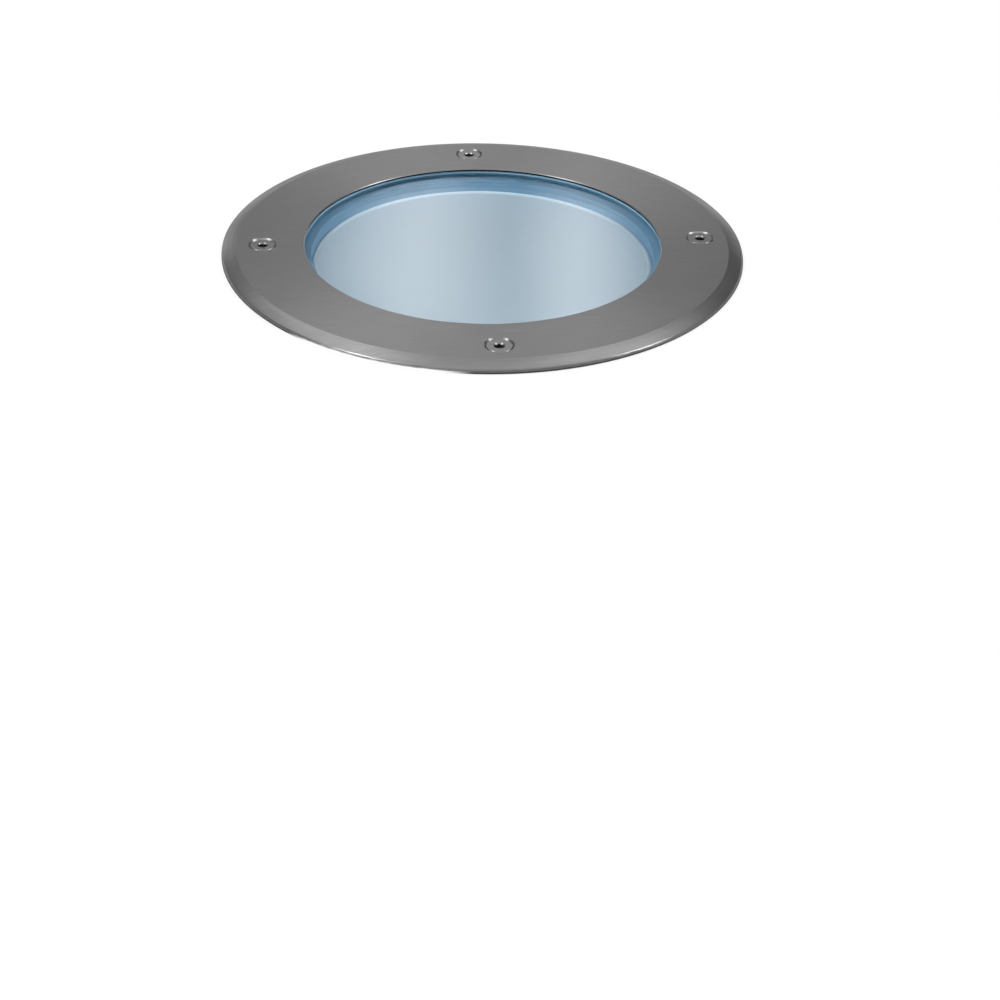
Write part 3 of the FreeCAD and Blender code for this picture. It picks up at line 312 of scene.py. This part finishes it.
def rolledAluminium(name, look):
    material, tree, shader, place = startMaterial(name, {
        "Base Color": hexColour(look["colour"]), "Metallic": 1})
    drawn = addNode(tree, "ShaderNodeVectorMath", {"operation": "DIVIDE", 1: look["lineMm"]}, {0: place})
    lines = addNode(tree, "ShaderNodeTexNoise", {"Scale": 1, "Detail": 3}, {"Vector": drawn.outputs[0]})
    varyColour(tree, shader, lines.outputs[0], look["colour"], look["otherTone"], spread=0.25)
    varyRoughness(tree, shader, lines.outputs[0], look["smooth"], look["rough"])
    raiseSurface(tree, shader, lines.outputs[0], look["depthMm"])
    return material


finishes["rolled_aluminium"] = rolledAluminium("rolledAluminium", rolledPlate)

# Silicone, compression moulded: pale blue and matt.
finishes["grey_silicone"] = moulded("greySilicone", {
    "colour": "#92c4e0", "otherTone": "#9ccae6", "roughness": 0.55, "ior": 1.41,
    "patchMm": 15, "grainMm": 0.6, "depthMm": 0.01})

# Nitrile rubber, moulded: black and matt.
finishes["black_rubber"] = moulded("nitrileRubber", {
    "colour": "#1d1d1e", "otherTone": "#262627", "roughness": 0.7, "ior": 1.5,
    "patchMm": 6, "grainMm": 0.5, "depthMm": 0.015})

# Glass filled nylon, moulded: black with a dry, lightly sparked face.
finishes["black_nylon"] = moulded("blackNylon", {
    "colour": "#232426", "otherTone": "#2c2d2f", "roughness": 0.48, "ior": 1.53,
    "patchMm": 9, "grainMm": 0.35, "depthMm": 0.015})

# Polypropylene, moulded: soft black with the wide flow patches of a large mould.
finishes["black_polypropylene"] = moulded("blackPolypropylene", {
    "colour": "#242528", "otherTone": "#303134", "roughness": 0.5, "ior": 1.49,
    "patchMm": 40, "grainMm": 0.9, "depthMm": 0.03})

# Nylon, moulded without colour: warm off white, a little waxy.
finishes["natural_nylon"] = moulded("naturalNylon", {
    "colour": "#ddd8c8", "otherTone": "#e6e1d3", "roughness": 0.42, "ior": 1.53,
    "patchMm": 6, "grainMm": 0.4, "depthMm": 0.01})

# Polycarbonate, moulded: the light grey case of the driver.
finishes["gear_case"] = moulded("greyPolycarbonate", {
    "colour": "#c9cbca", "otherTone": "#d2d4d3", "roughness": 0.45, "ior": 1.58,
    "patchMm": 18, "grainMm": 0.5, "depthMm": 0.015})

# Polycarbonate with white filler, moulded: the bright matt cone round the light source.
finishes["white_reflector"] = moulded("whitePolycarbonate", {
    "colour": "#ecedeb", "otherTone": "#f3f3f1", "roughness": 0.5, "ior": 1.58,
    "patchMm": 25, "grainMm": 0.4, "depthMm": 0.01})

# Silicone over phosphor, dispensed: egg yellow domes with a soft shine.
finishes["phosphor"] = moulded("phosphorSilicone", {
    "colour": "#e6c24e", "otherTone": "#efd06a", "roughness": 0.32, "ior": 1.41,
    "patchMm": 1.2, "grainMm": 0.25, "depthMm": 0.01})

# Solder mask over copper, screen printed: white, with the copper tracks standing up faintly beneath it.
boardMask = {"colour": "#e9ebe9", "otherTone": "#dfe2df", "trackMm": 5, "depthMm": 0.035, "roughness": 0.34,
             "ior": 1.5}


def solderMask(name, look):
    material, tree, shader, place = startMaterial(name, {
        "Base Color": hexColour(look["colour"]), "Roughness": look["roughness"], "IOR": look["ior"]})
    tracks = addNode(tree, "ShaderNodeTexBrick",
                     {"Scale": 1, "Brick Width": 3 * look["trackMm"], "Row Height": look["trackMm"],
                      "Mortar Size": 0.4, "Color1": (1, 1, 1, 1), "Color2": (1, 1, 1, 1),
                      "Mortar": (0, 0, 0, 1)},
                     {"Vector": place})
    varyColour(tree, shader, tracks.outputs[0], look["otherTone"], look["colour"], spread=0.5)
    raiseSurface(tree, shader, tracks.outputs[0], look["depthMm"])
    return material


finishes["white_board"] = solderMask("whiteSolderMask", boardMask)

print("materials made:", len(finishes))


# each CAD node takes its finish
for name, node in nodes.items():
    slot = node.data.materials[0].name
    node.data.materials[0] = finishes[slot.split(".")[0]]


# Bezel screws with their real thread, whose CAD shafts are plain at the thread's outer size.
# M6 coarse, rolled, in millimetres: crests an eighth of the pitch wide, roots a quarter, straight flanks.
# The profile gives shares of the pitch and the radius there. The neck and the tip slope at 45 degrees,
# and edges over "sharp" degrees stay crisp.
rolledThread = {"top": -4.7, "bottom": -21.2, "neck": 2.45, "tip": 2.2, "pitch": 1.0,
                "profile": ((0.0, 2.39), (0.25, 2.39), (0.5625, 3.0), (0.6875, 3.0)),
                "steps": 40, "sharp": 25, "margin": 0.02, "weld": 0.002}


def threadRings(mesh, look, middle):
    # columns of points that climb one pitch on the way round, so that the crests run true
    rowsPerPitch = len(look["profile"])
    pitches = math.ceil((look["top"] - look["bottom"]) / look["pitch"]) + 1
    columns = []
    for step in range(look["steps"] + 1):
        turned = step / look["steps"]
        angle = 2 * math.pi * turned
        column = []
        for row in range(pitches * rowsPerPitch + 1):
            part, size = look["profile"][row % rowsPerPitch]
            height = look["bottom"] + look["pitch"] * (row // rowsPerPitch - 1 + part + turned)
            height = min(max(height, look["bottom"]), look["top"])
            radius = min(size, look["neck"] + look["top"] - height, look["tip"] + height - look["bottom"])
            spot = Vector((radius * math.cos(angle), radius * math.sin(angle), height)) + middle
            column.append(mesh.verts.new(spot * millimetre))
        columns.append(column)
    return columns


def threadScrew(number, look):
    name = f"bezel_screw_{number}"
    lowest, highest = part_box(name)
    middle = (lowest + highest) / 2
    axis = Vector((round(middle.x / millimetre, 1), round(middle.y / millimetre, 1), 0))
    mesh = bmesh.new()
    mesh.from_mesh(nodes[name].data)
    limit = (look["top"] + look["margin"]) * millimetre
    plain = [face for face in mesh.faces if all(vert.co.z < limit for vert in face.verts)]
    bmesh.ops.delete(mesh, geom=plain, context="FACES")

    columns = threadRings(mesh, look, axis)
    end = [mesh.verts.new(column[0].co) for column in columns[:-1]]
    faces = [mesh.faces.new(end[::-1])]
    for left, right in zip(columns, columns[1:]):
        for row in range(len(left) - 1):
            faces.append(mesh.faces.new((left[row], right[row], right[row + 1], left[row + 1])))
    for face in faces:
        face.smooth = True
    made = [vert for column in columns for vert in column] + end
    bmesh.ops.remove_doubles(mesh, verts=made, dist=look["weld"] * millimetre)
    for edge in mesh.edges:
        if len(edge.link_faces) == 2 and edge.calc_face_angle(0) > math.radians(look["sharp"]):
            edge.smooth = False

    data = bpy.data.meshes.new(f"threadedScrew{number}")
    mesh.to_mesh(data)
    mesh.free()
    data.materials.append(finishes["stainless_screw"])
    screw = bpy.data.objects.new(f"threadedScrew{number}", data)
    scene.collection.objects.link(screw)
    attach(screw, f"screw_{number}")
    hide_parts(name)


for number in range(1, 5):
    threadScrew(number, rolledThread)
print("screw threads made")


# a pale field round the sleeve, which takes the light's shadow
ground = {
    "reach": 60.0, "holeRadius": 112.05 * millimetre, "drop": 0.05 * millimetre, "lining": 1.5 * millimetre,
    "colour": "#f4f4f3", "roughness": 0.9, "whiteSeen": 0.85, "steps": 128,
    # what the metal mirrors of it is painted: a painted shadow, dim round the light, bright far away, and a
    # painted highlight patch by the near left rim
    "paintedShadowDim": 0.06, "bright": 0.85, "dimTo": 0.17, "brightFrom": 0.34,
    "paintedHighlightPatch": 2.0, "patchToward": (-0.46, -0.89, 0), "patchEdge": 0.93, "patchFull": 0.97,
}


def makeGround(look):
    # a flat field with a round hole that the sleeve fills, and a short lining down the hole
    mesh = bmesh.new()
    angles = [2 * math.pi * step / look["steps"] for step in range(look["steps"])]
    rings = []
    for radius, height in ((look["reach"], -look["drop"]), (look["holeRadius"], -look["drop"]),
                           (look["holeRadius"], -look["drop"] - look["lining"])):
        rings.append([mesh.verts.new((radius * math.cos(a), radius * math.sin(a), height)) for a in angles])
    for outer, inner in zip(rings, rings[1:]):
        for step in range(look["steps"]):
            after = (step + 1) % look["steps"]
            mesh.faces.new((outer[step], outer[after], inner[after], inner[step]))
    data = bpy.data.meshes.new("ground")
    mesh.to_mesh(data)
    mesh.free()
    field = bpy.data.objects.new("ground", data)
    scene.collection.objects.link(field)

    material = bpy.data.materials.new("paleGround")
    material.use_nodes = True
    tree = material.node_tree
    shader = tree.nodes["Principled BSDF"]
    shader.inputs["Base Color"].default_value = hexColour(look["colour"])
    shader.inputs["Roughness"].default_value = look["roughness"]
    white = addNode(tree, "ShaderNodeEmission", {"Color": (1, 1, 1, 1), "Strength": 1})
    path = addNode(tree, "ShaderNodeLightPath")
    seen = addNode(tree, "ShaderNodeMath", {"operation": "MAXIMUM"},
                   {0: path.outputs["Is Camera Ray"], 1: path.outputs["Is Transmission Ray"]})
    share = addNode(tree, "ShaderNodeMath", {"operation": "MULTIPLY", 1: look["whiteSeen"]},
                    {0: seen.outputs[0]})
    plain = addNode(tree, "ShaderNodeMixShader", None,
                    {0: share.outputs[0], 1: shader.outputs[0], 2: white.outputs[0]})

    # painted reflection: for mirror rays the ground shows a painted shadow round the light and a painted
    # bright patch by the near left rim
    place = addNode(tree, "ShaderNodeTexCoord")
    radius = addNode(tree, "ShaderNodeVectorMath", {"operation": "LENGTH"}, {0: place.outputs["Object"]})
    outward = addNode(tree, "ShaderNodeVectorMath", {"operation": "NORMALIZE"}, {0: place.outputs["Object"]})
    toward = addNode(tree, "ShaderNodeVectorMath", {"operation": "DOT_PRODUCT", 1: look["patchToward"]},
                     {0: outward.outputs[0]})
    bands = []
    for value, start, end, full in ((radius, "dimTo", "brightFrom", "bright"),
                                    (toward, "patchEdge", "patchFull", "paintedHighlightPatch")):
        band = addNode(tree, "ShaderNodeMapRange", {
            "interpolation_type": "SMOOTHSTEP", "From Min": look[start], "From Max": look[end],
            "To Min": look["paintedShadowDim"], "To Max": look[full]}, {"Value": value.outputs["Value"]})
        bands.append(band.outputs[0])
    strength = addNode(tree, "ShaderNodeMath", {"operation": "MAXIMUM"}, {0: bands[0], 1: bands[1]})
    paintedMirror = addNode(tree, "ShaderNodeEmission", {"Color": (1, 1, 1, 1)},
                       {"Strength": strength.outputs[0]})
    mixed = addNode(tree, "ShaderNodeMixShader", None,
                    {0: path.outputs["Is Glossy Ray"], 1: plain.outputs[0], 2: paintedMirror.outputs[0]})
    tree.links.new(mixed.outputs[0], tree.nodes["Material Output"].inputs["Surface"])
    data.materials.append(material)


makeGround(ground)
print("ground made")


# Light comes from a soft sky, brighter cards in it, and a broad lamp on either side. The camera sees the
# sky white, and the metal mirrors it as it is. The lamps show in no reflection.
sky = {
    # brightness from straight down, at 0, to straight up, at 1
    "heights": ((0.0, 1.0), (0.53, 1.0), (0.60, 0.095), (0.80, 0.21), (0.95, 0.48)),
    # Middle of each card in degrees round from +Y towards +X and up, its half sizes, its soft edge and its
    # brightness. Below zero it is a black flag, which takes light away.
    "cards": (
        {"turn": 2.3, "up": 26, "halfWide": 1.5, "halfHigh": 9, "soft": 1.4, "bright": 0.75},
        {"turn": 7.3, "up": 26, "halfWide": 1.0, "halfHigh": 9, "soft": 1.2, "bright": 0.75},
        {"turn": 30, "up": 58, "halfWide": 9, "halfHigh": 14, "soft": 9, "bright": 0.7},
        {"turn": -18, "up": 48, "halfWide": 9, "halfHigh": 11, "soft": 8, "bright": 0.95},
        {"turn": -19, "up": 17, "halfWide": 3, "halfHigh": 4, "soft": 3, "bright": 0.9},
        {"turn": -107, "up": 52, "halfWide": 9, "halfHigh": 8, "soft": 4, "bright": 5.5},
        {"turn": 92, "up": 48, "halfWide": 9, "halfHigh": 8, "soft": 4, "bright": 5.5},
        {"turn": -58, "up": 62, "halfWide": 22, "halfHigh": 9, "soft": 8, "bright": 0.4},
        {"turn": 40, "up": 24, "halfWide": 22, "halfHigh": 11, "soft": 10, "bright": -0.09},
        {"turn": -40, "up": 24, "halfWide": 22, "halfHigh": 11, "soft": 10, "bright": -0.05},
    ),
}


def makeSky(look):
    world = bpy.data.worlds.new("softSky")
    scene.world = world
    world.use_nodes = True
    tree = world.node_tree
    direction = addNode(tree, "ShaderNodeTexCoord")
    parts = addNode(tree, "ShaderNodeSeparateXYZ", None, {0: direction.outputs["Generated"]})
    turn = addNode(tree, "ShaderNodeMath", {"operation": "ARCTAN2"},
                   {0: parts.outputs[0], 1: parts.outputs[1]})
    up = addNode(tree, "ShaderNodeMath", {"operation": "ARCSINE"}, {0: parts.outputs[2]})
    height = addNode(tree, "ShaderNodeMapRange", {"From Min": -1, "From Max": 1},
                     {"Value": parts.outputs[2]})
    shade = addNode(tree, "ShaderNodeValToRGB", None, {"Fac": height.outputs[0]})
    ramp = shade.color_ramp.elements
    while len(ramp) < len(look["heights"]):
        ramp.new(0.5)
    for stop, (position, bright) in zip(ramp, look["heights"]):
        stop.position = position
        stop.color = (bright, bright, bright, 1)
    total = shade.outputs["Color"]
    for card in look["cards"]:
        sides = []
        for angle, middle, half in ((turn, "turn", "halfWide"), (up, "up", "halfHigh")):
            away = addNode(tree, "ShaderNodeMath", {"operation": "SUBTRACT", 1: math.radians(card[middle])},
                           {0: angle.outputs[0]})
            distance = addNode(tree, "ShaderNodeMath", {"operation": "ABSOLUTE"}, {0: away.outputs[0]})
            edge = addNode(tree, "ShaderNodeMapRange", {
                "interpolation_type": "SMOOTHSTEP", "From Min": math.radians(card[half] + card["soft"]),
                "From Max": math.radians(max(0, card[half] - card["soft"]))}, {"Value": distance.outputs[0]})
            sides.append(edge.outputs[0])
        both = addNode(tree, "ShaderNodeMath", {"operation": "MULTIPLY"}, {0: sides[0], 1: sides[1]})
        strength = addNode(tree, "ShaderNodeVectorMath", {"operation": "SCALE", 0: (card["bright"],) * 3},
                           {"Scale": both.outputs[0]})
        summed = addNode(tree, "ShaderNodeVectorMath", {"operation": "ADD"},
                         {0: total, 1: strength.outputs[0]})
        total = summed.outputs[0]
    path = addNode(tree, "ShaderNodeLightPath")
    seen = addNode(tree, "ShaderNodeMix", {"data_type": "RGBA"},
                   {"Factor": path.outputs["Is Camera Ray"], 6: total})
    seen.inputs[7].default_value = (1, 1, 1, 1)
    tree.links.new(seen.outputs[2], tree.nodes["Background"].inputs["Color"])


makeSky(sky)

lamps = {
    "left": {"place": (-1.17, -0.43, 1.60), "size": (0.9, 0.9), "watts": 25},
    "right": {"place": (1.38, -0.10, 1.48), "size": (0.8, 0.8), "watts": 18},
}


def makeLamps(look):
    for name, lamp in look.items():
        data = bpy.data.lights.new(name, "AREA")
        data.shape = "RECTANGLE"
        data.size, data.size_y = lamp["size"]
        data.energy = lamp["watts"]
        light = bpy.data.objects.new(name, data)
        light.location = lamp["place"]
        light.rotation_mode = "QUATERNION"
        light.rotation_quaternion = Vector(lamp["place"]).to_track_quat("Z", "Y")
        light.visible_glossy = False
        scene.collection.objects.link(light)


makeLamps(lamps)
print("light made")


# the camera, where the photograph was taken from
shot = {"distance": 0.960, "elevation": 25.37, "turn": 4.32, "roll": 0.939, "lens": 74.25,
        "sensor": 36, "nearest": 0.01, "furthest": 200,
        "ringColumn": 482.9, "ringRow": 240.7, "imageSide": 1000}  # the pixel with the ring's middle


def makeCamera(look):
    data = bpy.data.cameras.new("camera")
    data.sensor_width = look["sensor"]
    data.lens = look["lens"]
    camera = bpy.data.objects.new("camera", data)
    elevation, turn = math.radians(look["elevation"]), math.radians(look["turn"])
    ringTop = Vector((0, 0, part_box("bezel_ring")[1].z))
    level = math.cos(elevation)
    back = Vector((-math.sin(turn) * level, -math.cos(turn) * level, math.sin(elevation)))
    right = Vector((math.cos(turn), -math.sin(turn), 0))
    upward = back.cross(right)
    facing = Matrix((right, upward, back)).transposed()
    roll = Matrix.Rotation(math.radians(look["roll"]), 3, "Z")
    pixels = look["lens"] / look["sensor"] * look["imageSide"]
    half = look["imageSide"] / 2
    seenAt = Vector((look["ringColumn"] - half, half - look["ringRow"], -pixels))
    aim = seenAt.rotation_difference(Vector((0, 0, -1))).to_matrix()
    stand = Matrix.Translation(ringTop + back * look["distance"])
    camera.matrix_world = stand @ (facing @ roll @ aim).to_4x4()
    data.clip_start, data.clip_end = look["nearest"], look["furthest"]
    scene.collection.objects.link(camera)
    scene.camera = camera


makeCamera(shot)
print("camera made")
